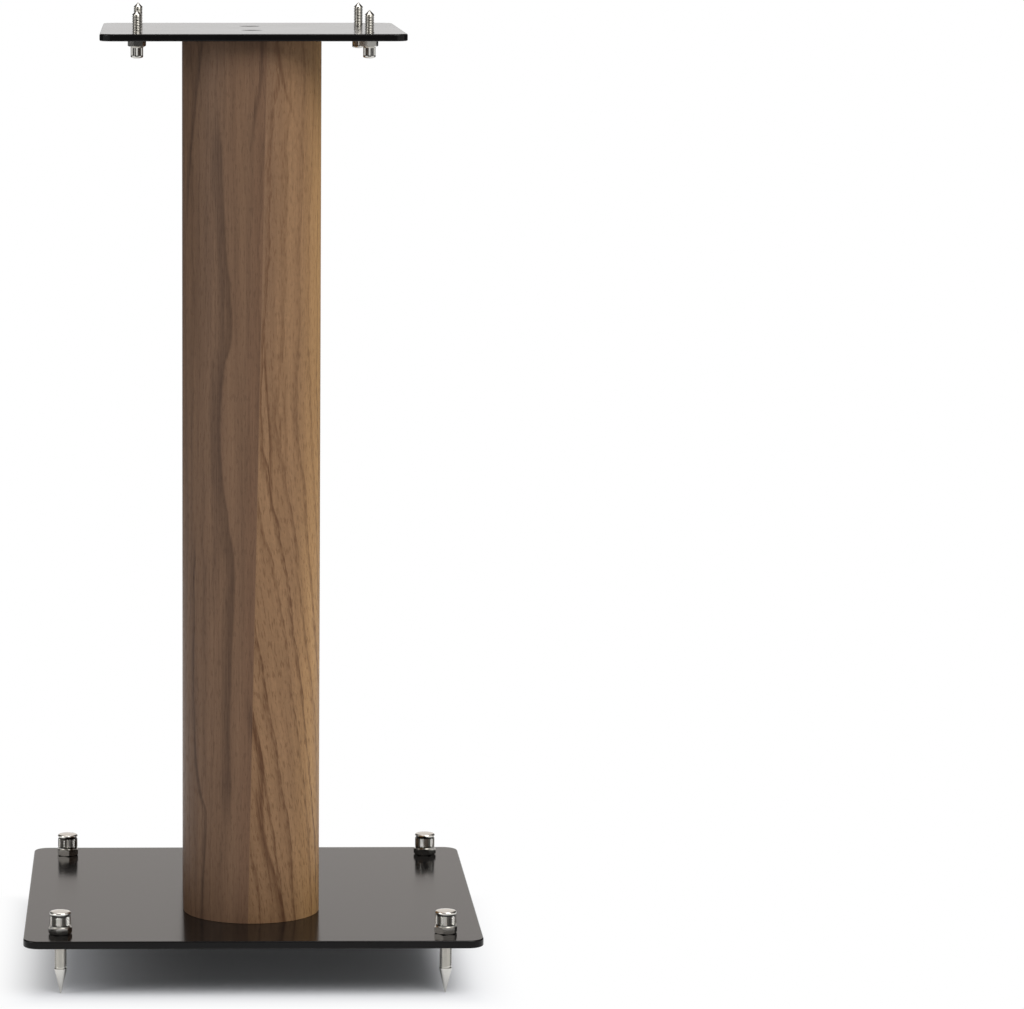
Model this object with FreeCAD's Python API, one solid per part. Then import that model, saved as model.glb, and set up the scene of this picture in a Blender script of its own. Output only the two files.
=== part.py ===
"""Speaker stand: two steel plates, an upright veneered column between them, four levelling
spikes under the base plate and four short points that carry the loudspeaker.

Millimetres. The floor is z = 0 under the centre of the base plate, +Z is up, +X is to the
right as seen from the front, and +Y goes to the back. Threads are plain cylinders here.
"""
import FreeCAD, Part
import math
import os

VECTOR = FreeCAD.Vector
UP = VECTOR(0, 0, 1)
CORNERS = {"front_left": (-1, -1), "front_right": (1, -1),
           "rear_left": (-1, 1), "rear_right": (1, 1)}
ENDS = {"front": -1, "rear": 1}

# ---- overall -----------------------------------------------------------------------------
support_height = 600.0        # floor to the top face of the top plate
plate_lift = 33.5             # floor to the underside of the base plate

# ---- base plate (painted steel) ----------------------------------------------------------
base_width = 288.0
base_depth = 280.0
base_thickness = 5.0
base_corner_radius = 10.0
base_rim_chamfer = 0.8

# ---- top plate (painted steel) -----------------------------------------------------------
top_width = 190.0
top_depth = 210.0
top_thickness = 4.5
top_corner_radius = 9.0
top_rim_chamfer = 0.8

# ---- column (fibreboard core with a wood veneer) -----------------------------------------
column_width = 87.0           # its front and back are half rounds of this width
column_depth = 184.0

# ---- levelling spikes under the base plate -----------------------------------------------
spike_inset = 23.0            # axis to the plate's edges, both ways
spike_thread_diameter = 8.0
spike_cone_length = 16.0
spike_tip_radius = 0.4
spike_head_diameter = 13.5
spike_head_height = 10.5
spike_shoulder = 1.0          # bevel between the head's side and its domed end
spike_dome_rise = 0.7
spike_relief_diameter = 6.4
spike_relief_width = 2.0

# ---- points on the top plate -------------------------------------------------------------
point_inset = 23.0
point_reach = 14.0            # how far it stands above the top face
point_thread_diameter = 6.0
point_cone_length = 2.8
point_tip_radius = 0.2
point_head_diameter = 7.8
point_head_height = 7.3
point_shoulder = 0.6
point_dome_rise = 0.4
point_relief_diameter = 4.7
point_relief_width = 1.4

# ---- locknuts ----------------------------------------------------------------------------
spike_nut_flats = 13.0
spike_nut_height = 4.5
point_nut_flats = 10.0
point_nut_height = 4.0
nut_chamfer_angle = 30.0
nut_face_cut = 0.3            # from the flats inward to the start of the chamfer
head_underside_chamfer = 0.4  # on every turned head, towards its nut

# ---- countersunk screws and threaded inserts that hold the plates to the column ----------
screw_spacing = 74.0          # front screw to rear screw, along Y
screw_thread_diameter = 6.0
screw_head_diameter = 12.8
screw_head_angle = 90.0
screw_rim_height = 0.4
screw_reach = 30.0            # plate's inner face to the screw's end
screw_socket_flats = 4.0
screw_socket_depth = 2.4
insert_diameter = 10.0
insert_length = 18.0
insert_collar_diameter = 12.0
insert_collar_height = 1.5
drill_run_out = 3.0           # free hole beyond the screw's end

# ---- clearances --------------------------------------------------------------------------
thread_clearance = 0.05       # on the radius, between a thread and its hole
countersink_clearance = 0.05  # between a screw's head and its seat
insert_clearance = 0.02       # on the radius, between an insert and the column

# ---- worked out from the above -----------------------------------------------------------
base_top = plate_lift + base_thickness
top_underside = support_height - top_thickness
column_height = top_underside - base_top
spike_x = base_width / 2 - spike_inset
spike_y = base_depth / 2 - spike_inset
point_x = top_width / 2 - point_inset
point_y = top_depth / 2 - point_inset
screw_y = screw_spacing / 2
spike_seat = base_top + spike_nut_height
point_seat = top_underside - point_nut_height


def rounded_rectangle(width, depth, radius, z):
    """A flat face with quarter-round corners, centred on the Z axis."""
    x = width / 2
    y = depth / 2
    bend = radius * (1 - math.cos(math.radians(45)))
    edges = []
    for sx, sy in ((1, 1), (-1, 1), (-1, -1), (1, -1)):
        first = VECTOR(sx * x, sy * (y - radius), z)
        middle = VECTOR(sx * (x - bend), sy * (y - bend), z)
        last = VECTOR(sx * (x - radius), sy * y, z)
        corner = (first, middle, last) if sx == sy else (last, middle, first)
        if edges:
            edges.append(Part.LineSegment(edges[-1].valueAt(edges[-1].LastParameter), corner[0]).toShape())
        edges.append(Part.Arc(*corner).toShape())
    start = edges[0].valueAt(edges[0].FirstParameter)
    edges.append(Part.LineSegment(edges[-1].valueAt(edges[-1].LastParameter), start).toShape())
    return Part.Face(Part.Wire(edges))


def plate_blank(width, depth, thickness, corner_radius, rim_chamfer, z):
    """A plate with rounded corners whose upper and lower rims are chamfered."""
    blank = rounded_rectangle(width, depth, corner_radius, z).extrude(UP * thickness)
    rims = [edge for edge in blank.Edges if edge.BoundBox.ZLength < rim_chamfer]
    return blank.makeChamfer(rim_chamfer, rims)


def drilled(solid, diameter, places, z_low, z_high):
    """The solid with upright round holes through it at the given x, y places."""
    for x, y in places:
        hole = Part.makeCylinder(diameter / 2, z_high - z_low, VECTOR(x, y, z_low))
        solid = solid.cut(hole)
    return solid


def screw_head_form(grow):
    """Rim radius, shank radius and the depth at which the head's cone meets the shank.

    grow widens the whole form, so that the same numbers also cut the countersink.
    """
    rim = screw_head_diameter / 2 + grow
    shank = screw_thread_diameter / 2 + grow
    flank = (rim - shank) / math.tan(math.radians(screw_head_angle / 2))
    return rim, shank, screw_rim_height + flank


def countersinks(plate_face_z, direction, thickness):
    """Cutters for the two countersunk holes; direction is +1 where the heads face down."""
    rim, shank, cone_end = screw_head_form(countersink_clearance)
    cutters = []
    for side in ENDS.values():
        foot = VECTOR(0, side * screw_y, plate_face_z)
        along = UP * direction
        straight = Part.makeCylinder(rim, screw_rim_height, foot, along)
        flank_start = foot + along * screw_rim_height
        cone = Part.makeCone(rim, shank, cone_end - screw_rim_height, flank_start, along)
        through = Part.makeCylinder(shank, thickness, foot, along)
        cutters.append(straight.fuse([cone, through]))
    return cutters


def base_plate():
    """Black base plate: four tapped corner holes, two countersunk holes from below."""
    plate = plate_blank(base_width, base_depth, base_thickness, base_corner_radius,
                        base_rim_chamfer, plate_lift)
    places = [(sx * spike_x, sy * spike_y) for sx, sy in CORNERS.values()]
    tapped = spike_thread_diameter + 2 * thread_clearance
    plate = drilled(plate, tapped, places, plate_lift, base_top)
    return plate.cut(countersinks(plate_lift, 1, base_thickness))


def top_plate():
    """Black top plate: four tapped corner holes, two countersunk holes from above."""
    plate = plate_blank(top_width, top_depth, top_thickness, top_corner_radius,
                        top_rim_chamfer, top_underside)
    places = [(sx * point_x, sy * point_y) for sx, sy in CORNERS.values()]
    tapped = point_thread_diameter + 2 * thread_clearance
    plate = drilled(plate, tapped, places, top_underside, support_height)
    return plate.cut(countersinks(support_height, -1, top_thickness))


def column():
    """Upright column with half-round front and back, bored at both ends for the inserts."""
    radius = column_width / 2
    straight = column_depth / 2 - radius
    front_left = VECTOR(-radius, -straight, base_top)
    front_right = VECTOR(radius, -straight, base_top)
    rear_right = VECTOR(radius, straight, base_top)
    rear_left = VECTOR(-radius, straight, base_top)
    front = Part.Arc(front_left, VECTOR(0, -column_depth / 2, base_top), front_right).toShape()
    right = Part.LineSegment(front_right, rear_right).toShape()
    back = Part.Arc(rear_right, VECTOR(0, column_depth / 2, base_top), rear_left).toShape()
    left = Part.LineSegment(rear_left, front_left).toShape()
    solid = Part.Face(Part.Wire([front, right, back, left])).extrude(UP * column_height)
    for end_z, inward in ((base_top, 1), (top_underside, -1)):
        for side in ENDS.values():
            mouth = VECTOR(0, side * screw_y, end_z)
            solid = solid.cut(insert_pocket(mouth, UP * inward))
    return solid


def insert_pocket(mouth, inward):
    """The stepped hole in the column's end that takes one insert and the screw's end."""
    body_radius = insert_diameter / 2 + insert_clearance
    collar_radius = insert_collar_diameter / 2 + insert_clearance
    free_radius = screw_thread_diameter / 2 + thread_clearance
    collar = Part.makeCylinder(collar_radius, insert_collar_height, mouth, inward)
    body = Part.makeCylinder(body_radius, insert_length, mouth, inward)
    run_out = Part.makeCylinder(free_radius, screw_reach + drill_run_out, mouth, inward)
    return collar.fuse([body, run_out])


def threaded_insert(end_z, inward, side):
    """Brass insert, flush with the column's end, with a collar that bears on the wood."""
    mouth = VECTOR(0, side * screw_y, end_z)
    along = UP * inward
    bore = screw_thread_diameter / 2 + thread_clearance
    collar = Part.makeCylinder(insert_collar_diameter / 2, insert_collar_height, mouth, along)
    body = Part.makeCylinder(insert_diameter / 2, insert_length, mouth, along)
    return collar.fuse(body).cut(Part.makeCylinder(bore, insert_length, mouth, along))


def plate_screw(face_z, inward, side, plate_thickness):
    """Countersunk screw with a hexagon socket, from a plate's outer face into the insert."""
    rim, shank, cone_end = screw_head_form(0)
    length = plate_thickness + screw_reach
    outline = [(0, 0), (rim, 0), (rim, screw_rim_height), (shank, cone_end), (shank, length),
               (0, length)]
    screw = turned(outline)
    socket = hexagon(screw_socket_flats).extrude(UP * screw_socket_depth)
    screw = screw.cut(socket)
    if inward < 0:
        screw.rotate(VECTOR(0, 0, 0), VECTOR(1, 0, 0), 180)
    screw.translate(VECTOR(0, side * screw_y, face_z))
    return screw


def turned(outline):
    """A solid of revolution about Z from (radius, height) points joined by straight lines."""
    points = [VECTOR(radius, 0, height) for radius, height in outline]
    wire = Part.makePolygon(points + [points[0]])
    return Part.Face(wire).revolve(VECTOR(0, 0, 0), UP, 360)


def corner_radius_of(flats):
    """Centre to corner of a hexagon with this width across its flats."""
    return flats / 2 / math.cos(math.radians(30))


def hexagon(flats):
    """A hexagonal face on z = 0 of the given width across flats, one corner towards +X."""
    radius = corner_radius_of(flats)
    points = []
    for step in range(6):
        angle = math.radians(60 * step)
        points.append(VECTOR(radius * math.cos(angle), radius * math.sin(angle), 0))
    return Part.Face(Part.makePolygon(points + [points[0]]))


def locknut(flats, height, thread_diameter):
    """Thin hexagon nut on z = 0 with a plain bore, chamfered round both faces."""
    corner = corner_radius_of(flats)
    face = flats / 2 - nut_face_cut
    slope = (corner - face) * math.tan(math.radians(nut_chamfer_angle))
    bore = thread_diameter / 2 + thread_clearance
    outline = [(bore, 0), (face, 0), (corner, slope), (corner, height - slope), (face, height),
               (bore, height)]
    return turned(outline).common(hexagon(flats).extrude(UP * height))


def turned_spike(thread_diameter, length, cone_length, tip_radius, head_diameter, head_height,
                 shoulder, dome_rise, relief_diameter, relief_width):
    """A spike with its head's seat at z = 0, the domed head above and the point below.

    From the tip upward the outline is a cone, the threaded shank, the narrow relief under
    the head, the seat, a straight side for the grip, a bevelled shoulder and a shallow dome.
    """
    shank = thread_diameter / 2
    head = head_diameter / 2
    relief = relief_diameter / 2
    crown = head - shoulder
    dome_radius = (crown ** 2 + dome_rise ** 2) / (2 * dome_rise)
    side_end = head_height - dome_rise - shoulder
    ease = shank - relief
    points = [(0, -length), (tip_radius, -length), (shank, cone_length - length),
              (shank, -relief_width - ease), (relief, -relief_width), (relief, 0),
              (head - head_underside_chamfer, 0), (head, head_underside_chamfer),
              (head, side_end), (crown, side_end + shoulder)]
    path = [VECTOR(radius, 0, height) for radius, height in points]
    edges = [Part.LineSegment(first, second).toShape() for first, second in zip(path, path[1:])]
    half = crown / 2
    dome_middle = VECTOR(half, 0, head_height - dome_radius + math.sqrt(dome_radius ** 2 - half ** 2))
    apex = VECTOR(0, 0, head_height)
    edges.append(Part.Arc(path[-1], dome_middle, apex).toShape())
    edges.append(Part.LineSegment(apex, path[0]).toShape())
    return Part.Face(Part.Wire(edges)).revolve(VECTOR(0, 0, 0), UP, 360)


def floor_spike(sx, sy):
    """Levelling spike screwed down through the base plate, its head seated on its nut."""
    spike = turned_spike(spike_thread_diameter, spike_seat, spike_cone_length, spike_tip_radius,
                         spike_head_diameter, spike_head_height, spike_shoulder, spike_dome_rise,
                         spike_relief_diameter, spike_relief_width)
    spike.translate(VECTOR(sx * spike_x, sy * spike_y, spike_seat))
    return spike


def top_point(sx, sy):
    """Point screwed up through the top plate, its head hanging under its nut."""
    length = support_height + point_reach - point_seat
    point = turned_spike(point_thread_diameter, length, point_cone_length, point_tip_radius,
                         point_head_diameter, point_head_height, point_shoulder, point_dome_rise,
                         point_relief_diameter, point_relief_width)
    point.rotate(VECTOR(0, 0, 0), VECTOR(1, 0, 0), 180)
    point.translate(VECTOR(sx * point_x, sy * point_y, point_seat))
    return point


def placed_nut(nut, x, y, z):
    """The nut moved to a spike's axis and its seat height."""
    nut.translate(VECTOR(x, y, z))
    return nut


parts = {"base_plate": base_plate(), "top_plate": top_plate(), "column": column()}
for corner, (sx, sy) in CORNERS.items():
    parts["floor_spike_" + corner] = floor_spike(sx, sy)
    floor_nut = locknut(spike_nut_flats, spike_nut_height, spike_thread_diameter)
    parts["floor_locknut_" + corner] = placed_nut(floor_nut, sx * spike_x, sy * spike_y, base_top)
    parts["top_spike_" + corner] = top_point(sx, sy)
    top_nut = locknut(point_nut_flats, point_nut_height, point_thread_diameter)
    parts["top_locknut_" + corner] = placed_nut(top_nut, sx * point_x, sy * point_y, point_seat)
for end, side in ENDS.items():
    parts["base_screw_" + end] = plate_screw(plate_lift, 1, side, base_thickness)
    parts["base_insert_" + end] = threaded_insert(base_top, 1, side)
    parts["top_screw_" + end] = plate_screw(support_height, -1, side, top_thickness)
    parts["top_insert_" + end] = threaded_insert(top_underside, -1, side)

os.makedirs("parts", exist_ok=True)
for name, shape in parts.items():
    if not shape.isValid() or len(shape.Solids) != 1:
        raise ValueError(name + " is not one valid solid")
    shape.exportStep("parts/" + name + ".step")
print(len(parts), "pieces,", round(sum(shape.Volume for shape in parts.values()) / 1000), "cubic centimetres")
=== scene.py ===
# %% [markdown]
# # A speaker stand: steel, walnut and turned spikes
#
# The stand has a black base plate, an upright column with half-round front and back, and a
# smaller black top plate. Four pointed levelling spikes carry the base, and four short points
# stand up from the top plate to carry the loudspeaker. The imported CAD model gives every place
# and size. This notebook dresses it: rounded rims, real threads, a knurled grip and a veneer.
#
# We load the frame first; every size below is read from its boxes.

# %% The frame
import math

import bmesh
import bpy
from mathutils import Matrix, Vector


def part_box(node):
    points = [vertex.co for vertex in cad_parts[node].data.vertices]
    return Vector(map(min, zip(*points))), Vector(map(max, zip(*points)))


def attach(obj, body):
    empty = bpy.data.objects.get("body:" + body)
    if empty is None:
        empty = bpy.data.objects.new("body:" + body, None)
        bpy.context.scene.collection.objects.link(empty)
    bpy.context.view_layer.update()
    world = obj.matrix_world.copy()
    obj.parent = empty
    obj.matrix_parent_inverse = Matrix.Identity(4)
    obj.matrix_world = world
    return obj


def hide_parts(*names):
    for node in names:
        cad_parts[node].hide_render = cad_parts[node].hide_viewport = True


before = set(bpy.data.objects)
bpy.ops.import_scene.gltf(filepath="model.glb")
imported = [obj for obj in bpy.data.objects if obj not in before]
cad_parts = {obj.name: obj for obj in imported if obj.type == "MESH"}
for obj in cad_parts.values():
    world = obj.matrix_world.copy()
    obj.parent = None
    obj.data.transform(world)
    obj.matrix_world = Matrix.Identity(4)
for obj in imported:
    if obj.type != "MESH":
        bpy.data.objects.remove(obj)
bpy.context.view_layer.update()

MM = 0.001
CORNERS = ("front_left", "front_right", "rear_left", "rear_right")
ENDS = ("front", "rear")

# %% [markdown]
# ## Measuring the frame
#
# A good dressed piece never guesses its place. It could hold the sizes of the drawing again,
# but then two files would have to agree. Reading each node's box keeps one source: the middle
# gives a piece's axis, and the extents give its radii and heights.

# %% Sizes read from the frame
def middle(node):
    """The centre of a node's box."""
    low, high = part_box(node)
    return (low + high) / 2


def extent(node):
    """The node's width, depth and height."""
    low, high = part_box(node)
    return high - low


FLOOR = 0.0               # height of the floor, where the tips of the spikes stand
BASE_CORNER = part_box("base_plate")[1]     # the base plate's highest corner
COLUMN_LOW, COLUMN_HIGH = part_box("column")
COLUMN_WIDTH = extent("column").x
COLUMN_DEPTH = extent("column").y
for node in ("base_plate", "top_plate", "column"):
    print(node, [round(side / MM, 1) for side in extent(node)], "mm")

# %% [markdown]
# ## Hand tools
#
# Every operator in Blender acts on what is selected, and the loaded nodes start out selected.
# So each tool below clears the selection, picks its own object or faces, and leaves nothing
# to chance. Faces and edges are picked by a test on their place or direction, which stays
# true when a size changes, where a list of index numbers would not.

# %% Selecting, starting and finishing a piece
def select_only(*pieces):
    """Selects these objects and makes the first one active."""
    bpy.ops.object.select_all(action="DESELECT")
    for piece in pieces:
        piece.select_set(True)
    bpy.context.view_layer.objects.active = pieces[0]


def begin(name, primitive, **settings):
    """A primitive under its own name, with its place put into its mesh."""
    bpy.ops.object.select_all(action="DESELECT")
    primitive(**settings)
    piece = bpy.context.object
    piece.name = name
    piece.data.name = name
    bpy.ops.object.transform_apply(location=True, rotation=True, scale=True)
    return piece


def edit(piece):
    """Opens a piece in edit mode with nothing selected."""
    select_only(piece)
    bpy.ops.object.mode_set(mode="EDIT")
    bpy.ops.mesh.select_all(action="DESELECT")


def close_edit():
    """Points all faces outward and goes back to object mode."""
    bpy.ops.mesh.select_all(action="SELECT")
    bpy.ops.mesh.normals_make_consistent(inside=False)
    bpy.ops.object.mode_set(mode="OBJECT")


def pick(kind, test):
    """In edit mode, selects only the vertices, edges or faces that pass a test."""
    mode = {"verts": "VERT", "edges": "EDGE", "faces": "FACE"}[kind]
    bpy.ops.mesh.select_mode(type=mode)
    bpy.ops.mesh.select_all(action="DESELECT")
    mesh = bmesh.from_edit_mesh(bpy.context.object.data)
    chosen = [element for element in getattr(mesh, kind) if test(element)]
    for element in chosen:
        element.select_set(True)
    mesh.select_flush_mode()
    bmesh.update_edit_mesh(bpy.context.object.data)
    return len(chosen)


def direction(edge):
    """An edge's unit direction."""
    return (edge.verts[1].co - edge.verts[0].co).normalized()


def is_upright(edge):
    """True for an edge that runs along Z."""
    return abs(direction(edge).z) > 0.9


def is_level(edge):
    """True for an edge that runs across Z."""
    return abs(direction(edge).z) < 0.1


def centre_of(edge):
    """The point halfway along an edge."""
    return (edge.verts[0].co + edge.verts[1].co) / 2


def apply_modifier(piece, kind, **settings):
    """Adds one modifier to a piece and applies it."""
    select_only(piece)
    bpy.ops.object.modifier_add(type=kind)
    modifier = piece.modifiers[-1]
    for setting, value in settings.items():
        setattr(modifier, setting, value)
    bpy.ops.object.modifier_apply(modifier=modifier.name)


def combine(piece, other, operation):
    """Cuts, joins or keeps the shared volume with another closed form, which is used up."""
    apply_modifier(piece, "BOOLEAN", operation=operation, solver="EXACT", object=other)
    bpy.data.objects.remove(other)


def copy_to(piece, name, place):
    """A copy with its own mesh, moved inside that mesh."""
    twin = piece.copy()
    twin.data = piece.data.copy()
    twin.name = name
    twin.data.name = name
    twin.data.transform(Matrix.Translation(place))
    bpy.context.scene.collection.objects.link(twin)
    return twin


def onto_axis(piece, node):
    """Moves a form that was made about Z onto a node's axis, inside its mesh."""
    axis = middle(node)
    piece.data.transform(Matrix.Translation((axis.x, axis.y, 0)))


def smooth(piece, angle):
    """Smooth shading that keeps every crease sharper than the angle, in degrees."""
    select_only(piece)
    bpy.ops.object.shade_smooth_by_angle(angle=math.radians(angle))


def report(piece):
    """Prints a piece's size and triangle count."""
    piece.data.calc_loop_triangles()
    size = [round(side / MM, 2) for side in piece.dimensions]
    print(piece.name, size, "mm,", len(piece.data.loop_triangles), "triangles")

# %% [markdown]
# ## Turned forms
#
# Screws, spikes and the tools that cut their holes are all lathe work. Blender's spin could
# turn a drawn profile, but a disc that is drawn up and scaled ring by ring shows the same
# thought as the lathe: each pair is a radius and a height, and the solid is closed at once.

# %% The lathe
ROUND = 28          # corners of a small turned form


def turn(name, outline, around=ROUND):
    """A closed turned form about Z from (radius, height) pairs in mm, lowest first."""
    radius, height = outline[0]
    piece = begin(name, bpy.ops.mesh.primitive_circle_add, vertices=around, radius=radius * MM,
                  fill_type="NGON", location=(0, 0, height * MM))
    edit(piece)
    bpy.ops.mesh.select_all(action="SELECT")
    for next_radius, next_height in outline[1:]:
        rise = (0, 0, (next_height - height) * MM)
        bpy.ops.mesh.extrude_region_move(TRANSFORM_OT_translate={"value": rise})
        scale = next_radius / radius
        bpy.ops.transform.resize(value=(scale, scale, 1), center_override=(0, 0, next_height * MM))
        radius, height = next_radius, next_height
    close_edit()
    return piece

# %% [markdown]
# ## The two plates
#
# Both plates are flat steel, cut with round corners, drilled, and powder coated. The coat
# rounds every edge, and that soft rim carries the thin bright line along the front. A box
# with bevelled edges gives it: first the four upright edges at the corner radius, then both
# rims. The holes come after that, so that their edges stay crisp.

# %% Plate blanks
CORNER_ROUND = {"base_plate": 10 * MM, "top_plate": 9 * MM}
CORNER_STEPS = 12         # faces round a plate's corner
RIM = 0.9 * MM            # rounding of the plates' rims
RIM_STEPS = 4             # faces over a rim


def plate(name):
    """A coated plate in the place of its CAD node, before it is drilled."""
    low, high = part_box(name)
    piece = begin(name + "_coated", bpy.ops.mesh.primitive_cube_add, size=1,
                  location=(low + high) / 2, scale=high - low)
    edit(piece)
    pick("edges", is_upright)
    bpy.ops.mesh.bevel(offset=CORNER_ROUND[name], segments=CORNER_STEPS, affect="EDGES")
    pick("edges", is_level)
    bpy.ops.mesh.bevel(offset=RIM, segments=RIM_STEPS, affect="EDGES")
    close_edit()
    return piece


base = plate("base_plate")
top = plate("top_plate")
report(base)
report(top)

# %% [markdown]
# ## Holes in the plates
#
# Each corner has a tapped hole for its spike, with a small chamfer at both mouths, and two
# screws enter each plate through countersunk holes. A turned cutter and a Boolean make each
# hole. Insetting faces by hand could do it too, but a hole crosses faces that a hand would
# have to cut first.

# %% Drilling
SLACK = 0.05              # mm between a thread and its hole, on the radius
MOUTH = 0.45              # mm of chamfer at a tapped hole's mouths
PROUD = 1.0               # mm that a cutter stands out of the plate


def hole_cutter(node, thread_radius):
    """A cutter on the axis for a tapped hole right through a node, with both its mouths."""
    low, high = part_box(node)
    bottom = low.z / MM
    face = high.z / MM
    hole = thread_radius + SLACK
    wide = hole + MOUTH + PROUD
    return turn("cutter", [(wide, bottom - PROUD), (hole, bottom + MOUTH),
                           (hole, face - MOUTH), (wide, face + PROUD)])


def drill_tapped(piece, plate_node, spike_node, thread_radius):
    """Cuts one tapped corner hole round a spike's axis."""
    cutter = hole_cutter(plate_node, thread_radius)
    onto_axis(cutter, spike_node)
    combine(piece, cutter, "DIFFERENCE")


SPIKE_THREAD = 4.0        # mm, thread radius of the floor spikes
POINT_THREAD = 3.0        # mm, thread radius of the top points
for corner in CORNERS:
    drill_tapped(base, "base_plate", "floor_spike_" + corner, SPIKE_THREAD)
    drill_tapped(top, "top_plate", "top_spike_" + corner, POINT_THREAD)

# %% [markdown]
# The countersinks follow the screws' own form, 0.05 mm larger all over: a short straight rim,
# a 90 degree cone and the shank. Under the base the screws enter from below, so that cutter
# is the same form upside down.

# %% Countersinks
SCREW_RIM = 0.4           # mm of straight side on a screw's head
SCREW_THREAD = 3.0        # mm, thread radius of the screws
AROUND_SCREW = 48         # corners round a screw and its countersink
FLAT_CREASE = 40          # degrees; sharper edges of the plates and the column stay crisp


def screw_outline(node, grow):
    """(radius, depth from the head's face) of a countersunk screw, widened by grow."""
    head = extent(node).x / 2 / MM + grow
    shank = SCREW_THREAD + grow
    end = extent(node).z / MM
    return [(head, 0), (head, SCREW_RIM), (shank, SCREW_RIM + head - shank), (shank, end)]


def from_face(node, outline):
    """Turns depths below a head's face into heights, lowest first."""
    low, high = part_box(node)
    if node.startswith("top"):
        return [(radius, high.z / MM - depth) for radius, depth in reversed(outline)]
    return [(radius, low.z / MM + depth) for radius, depth in outline]


for piece, plate_name in ((base, "base"), (top, "top")):
    for end in ENDS:
        node = plate_name + "_screw_" + end
        outline = screw_outline(node, SLACK)
        outline = [(outline[0][0], -PROUD)] + outline[1:]
        cutter = turn("cutter", from_face(node, outline), around=AROUND_SCREW)
        onto_axis(cutter, node)
        combine(piece, cutter, "DIFFERENCE")
for piece, node in ((base, "base_plate"), (top, "top_plate")):
    smooth(piece, FLAT_CREASE)
    apply_modifier(piece, "WEIGHTED_NORMAL", keep_sharp=True)
    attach(piece, "stand")
    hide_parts(node)
    report(piece)

# %% [markdown]
# ## The column
#
# The column is a fibreboard core wrapped in walnut veneer, with half-round front and back. A
# cylinder could be pulled apart along its depth. A box whose upright edges are bevelled by
# half its width gives the same outline with exact flats, and the bevels' ends meet in the
# middle of the front and the back, where doubles are merged.

# %% Column body
HALF_ROUND = COLUMN_WIDTH / 2
QUARTER_STEPS = 32        # faces round a quarter of the outline
MEETING_GAP = 0.02 * MM   # doubles closer than this are merged
VENEER_EASE = 0.3 * MM    # the veneer's sanded edge at both ends
column = begin("column_veneered", bpy.ops.mesh.primitive_cube_add, size=1,
               location=middle("column"), scale=extent("column"))
edit(column)
pick("edges", is_upright)
bpy.ops.mesh.bevel(offset=HALF_ROUND, segments=QUARTER_STEPS, affect="EDGES")
bpy.ops.mesh.select_all(action="SELECT")
bpy.ops.mesh.remove_doubles(threshold=MEETING_GAP)
pick("edges", is_level)
bpy.ops.mesh.bevel(offset=VENEER_EASE, segments=2, affect="EDGES")
close_edit()
report(column)

# %% [markdown]
# The core is bored at both ends for the brass inserts. Each bore is a plain turned cutter,
# as wide and as long as its insert, with the free hole for the screw's end beyond it.

# %% Bores for the inserts
RUN_OUT = 3.0             # mm of free hole beyond a screw's end
for plate_name, inward in (("base", 1), ("top", -1)):
    for end in ENDS:
        insert = plate_name + "_insert_" + end
        screw = plate_name + "_screw_" + end
        mouth = (COLUMN_LOW.z if inward > 0 else COLUMN_HIGH.z) / MM
        end_z = (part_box(screw)[1].z if inward > 0 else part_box(screw)[0].z) / MM + inward * RUN_OUT
        bore = extent(insert).x / 2 / MM
        free = SCREW_THREAD + SLACK
        depth = extent(insert).z / MM
        steps = [(bore, mouth - inward * PROUD), (bore, mouth + inward * depth),
                 (free, mouth + inward * depth), (free, end_z)]
        cutter = turn("cutter", steps if inward > 0 else steps[::-1])
        onto_axis(cutter, insert)
        combine(column, cutter, "DIFFERENCE")
smooth(column, FLAT_CREASE)
apply_modifier(column, "WEIGHTED_NORMAL", keep_sharp=True)
report(column)

# %% [markdown]
# Veneer is laid round the column like paper, so its pattern needs a map that is unrolled the
# same way: across is the length of surface from the front's centre line, up is the height.
# Object coordinates would cut the pattern off at the flats. The map is worked out from each
# corner's place, in metres, and its seam lies at the middle of the back.

# %% Unrolling the veneer
FLAT_HALF = COLUMN_DEPTH / 2 - HALF_ROUND     # from the middle to where a half round starts
QUARTER = HALF_ROUND * math.pi / 2
HALF_WAY_ROUND = 2 * QUARTER + 2 * FLAT_HALF
HAIR = 1e-6               # m, a distance too small to see


def unrolled(x, y):
    """Length of surface from the front's centre line to a point, with x's sign."""
    if y < -FLAT_HALF:
        length = HALF_ROUND * math.atan2(abs(x), -FLAT_HALF - y)
    elif y > FLAT_HALF:
        length = QUARTER + 2 * FLAT_HALF + HALF_ROUND * math.atan2(y - FLAT_HALF, abs(x))
    else:
        length = QUARTER + y + FLAT_HALF
    return math.copysign(length, x)


veneer_map = column.data.uv_layers.new(name="veneer")
for face in column.data.polygons:
    side = face.center.x
    for loop in face.loop_indices:
        x, y, z = column.data.vertices[column.data.loops[loop].vertex_index].co
        across = unrolled(math.copysign(max(abs(x), HAIR), side), y)
        veneer_map.data[loop].uv = (across, z)
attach(column, "stand")
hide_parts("column")
print("veneer from", round(-HALF_WAY_ROUND / MM), "to", round(HALF_WAY_ROUND / MM), "mm")

# %% [markdown]
# ## Threads
#
# A thread is one ridge wound round a core. A bump could fake it, but it would not show on the
# outline of the shank against the light. The ridge's section is a small plane whose outer
# edge is narrowed to the crest, and the Screw modifier winds it up, one pitch a turn. Its foot
# lies a little inside the core, and its two open ends are closed with a face.

# %% The ridge of a thread
WINDING_STEPS = 24        # steps in one turn of a thread
THREAD_CORE = 0.58        # depth of the core below the crest, in pitches
RIDGE_ROOT = 0.60         # depth of the ridge's foot, a little inside the core, in pitches
RIDGE_FOOT = 0.92         # width of the foot, in pitches
RIDGE_CREST = 0.14        # width of the crest, as a share of the foot


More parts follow.
